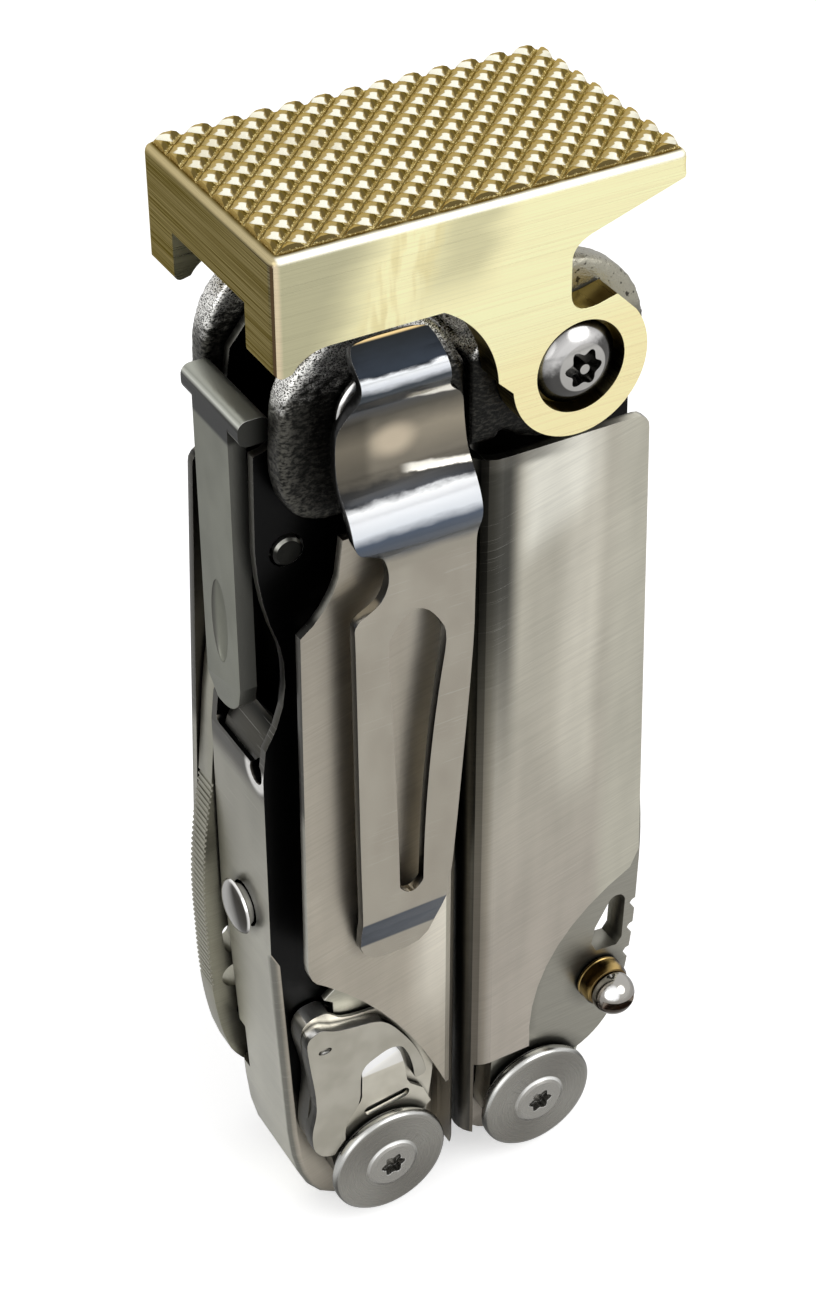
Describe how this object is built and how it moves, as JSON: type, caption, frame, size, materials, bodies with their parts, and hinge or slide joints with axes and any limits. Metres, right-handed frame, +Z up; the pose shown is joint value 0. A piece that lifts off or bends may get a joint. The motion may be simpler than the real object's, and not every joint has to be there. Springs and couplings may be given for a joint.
{
  "type": "folding plier tool with hammer head",
  "caption": "Folded plier tool with two handles of folding blades, a pocket clip and a brass hammer head screwed over the plier pivots.",
  "frame": {"origin": "centre of the bounding box's bottom face, under the gap between the two folded handles", "axes": "+X to the right seen from the clip side, +Y from the clip side to the back, +Z up to the hammer's face"},
  "size_m": [0.0456, 0.0294, 0.1252],
  "materials": {
    "plier_arm_left": "rough black cast steel",
    "plier_arm_right": "rough black cast steel",
    "plier_pin": "satin stainless steel",
    "pivot_screw_left": "dark polished steel",
    "pivot_screw_right": "dark polished steel",
    "pivot_nut_left": "dark polished steel",
    "pivot_nut_right": "dark polished steel",
    "hammer_head": "machined, knurled top",
    "handle_left": "satin stainless steel",
    "pocket_clip": "polished spring steel",
    "stop_pin_left": "satin stainless steel",
    "tool_axle_left": "satin stainless steel",
    "tool_disc_left_front": "satin stainless steel",
    "tool_disc_left_back": "satin stainless steel",
    "lock_spring_left": "satin stainless steel",
    "can_opener": "satin stainless steel",
    "large_driver": "satin stainless steel",
    "awl": "satin stainless steel",
    "handle_right": "satin stainless steel",
    "stop_pin_right": "satin stainless steel",
    "tool_axle_right": "satin stainless steel",
    "tool_disc_right_front": "satin stainless steel",
    "tool_disc_right_back": "satin stainless steel",
    "lock_spring_right": "satin stainless steel",
    "bit_driver": "satin stainless steel",
    "small_driver": "satin stainless steel",
    "wire_stripper": "satin stainless steel",
    "lock_button_left": "polished steel",
    "lock_button_right": "polished steel",
    "side_bar": "satin stainless steel",
    "saw_holder": "satin stainless steel",
    "release_lever": "satin stainless steel",
    "saw_blade": "satin stainless steel",
    "serrated_blade": "satin stainless steel",
    "serrated_collar": "aged bronze",
    "serrated_stud": "polished steel",
    "knife_blade": "satin stainless steel",
    "knife_collar": "aged bronze",
    "knife_stud": "polished steel",
    "file_blade": "satin stainless steel"
  },
  "bodies": {
    "plier_head": {"plier_arm_left": "plier_arm_left", "plier_arm_right": "plier_arm_right", "plier_pin": "plier_pin", "pivot_screw_left": "pivot_screw_left", "pivot_screw_right": "pivot_screw_right", "pivot_nut_left": "pivot_nut_left", "pivot_nut_right": "pivot_nut_right"},
    "hammer": {"hammer_head": "hammer_head"},
    "left_handle": {"handle_left": "handle_left", "pocket_clip": "pocket_clip", "stop_pin_left": "stop_pin_left", "tool_axle_left": "tool_axle_left", "tool_disc_left_front": "tool_disc_left_front", "tool_disc_left_back": "tool_disc_left_back", "lock_spring_left": "lock_spring_left", "can_opener": "can_opener", "large_driver": "large_driver", "awl": "awl"},
    "right_handle": {"handle_right": "handle_right", "stop_pin_right": "stop_pin_right", "tool_axle_right": "tool_axle_right", "tool_disc_right_front": "tool_disc_right_front", "tool_disc_right_back": "tool_disc_right_back", "lock_spring_right": "lock_spring_right", "bit_driver": "bit_driver", "small_driver": "small_driver", "wire_stripper": "wire_stripper"},
    "left_button": {"lock_button_left": "lock_button_left"},
    "right_button": {"lock_button_right": "lock_button_right"},
    "side_bar": {"side_bar": "side_bar"},
    "saw": {"saw_holder": "saw_holder", "release_lever": "release_lever", "saw_blade": "saw_blade"},
    "serrated_knife": {"serrated_blade": "serrated_blade", "serrated_collar": "serrated_collar", "serrated_stud": "serrated_stud"},
    "knife": {"knife_blade": "knife_blade", "knife_collar": "knife_collar", "knife_stud": "knife_stud"},
    "file": {"file_blade": "file_blade"}
  },
  "joints": [
    {"name": "left_handle_open", "type": "hinge", "parent": "plier_head", "child": "left_handle", "pos_m": [-0.0098, 0, 0.1055], "axis": [0, -1, 0], "range_deg": [-85, 0]},
    {"name": "right_handle_open", "type": "hinge", "parent": "plier_head", "child": "right_handle", "pos_m": [0.0098, 0, 0.1055], "axis": [0, 1, 0], "range_deg": [-105, 0]},
    {"name": "hammer_swing", "type": "hinge", "parent": "plier_head", "child": "hammer", "pos_m": [0.0098, 0, 0.1055], "axis": [0, 1, 0], "range_deg": [0, 105]},
    {"name": "knife_open", "type": "hinge", "parent": "right_handle", "child": "knife", "pos_m": [0.0095, 0, 0.0084], "axis": [0, 1, 0], "range_deg": [0, 165]},
    {"name": "file_open", "type": "hinge", "parent": "right_handle", "child": "file", "pos_m": [0.0095, 0, 0.0084], "axis": [0, 1, 0], "range_deg": [0, 165]},
    {"name": "saw_open", "type": "hinge", "parent": "left_handle", "child": "saw", "pos_m": [-0.0095, 0, 0.0084], "axis": [0, -1, 0], "range_deg": [0, 165]},
    {"name": "serrated_knife_open", "type": "hinge", "parent": "left_handle", "child": "serrated_knife", "pos_m": [-0.0095, 0, 0.0084], "axis": [0, -1, 0], "range_deg": [0, 165]},
    {"name": "side_bar_open", "type": "hinge", "parent": "left_handle", "child": "side_bar", "pos_m": [-0.02, 0, 0.104], "axis": [0, 1, 0], "range_deg": [0, 90]},
    {"name": "left_button_press", "type": "slide", "parent": "left_handle", "child": "left_button", "axis": [1, 0, 0], "range_m": [0, 0.0005], "stiffness_N_per_m": 4000, "springref_m": -0.00025},
    {"name": "right_button_press", "type": "slide", "parent": "right_handle", "child": "right_button", "axis": [-1, 0, 0], "range_m": [0, 0.0005], "stiffness_N_per_m": 4000, "springref_m": -0.00025}
  ]
}
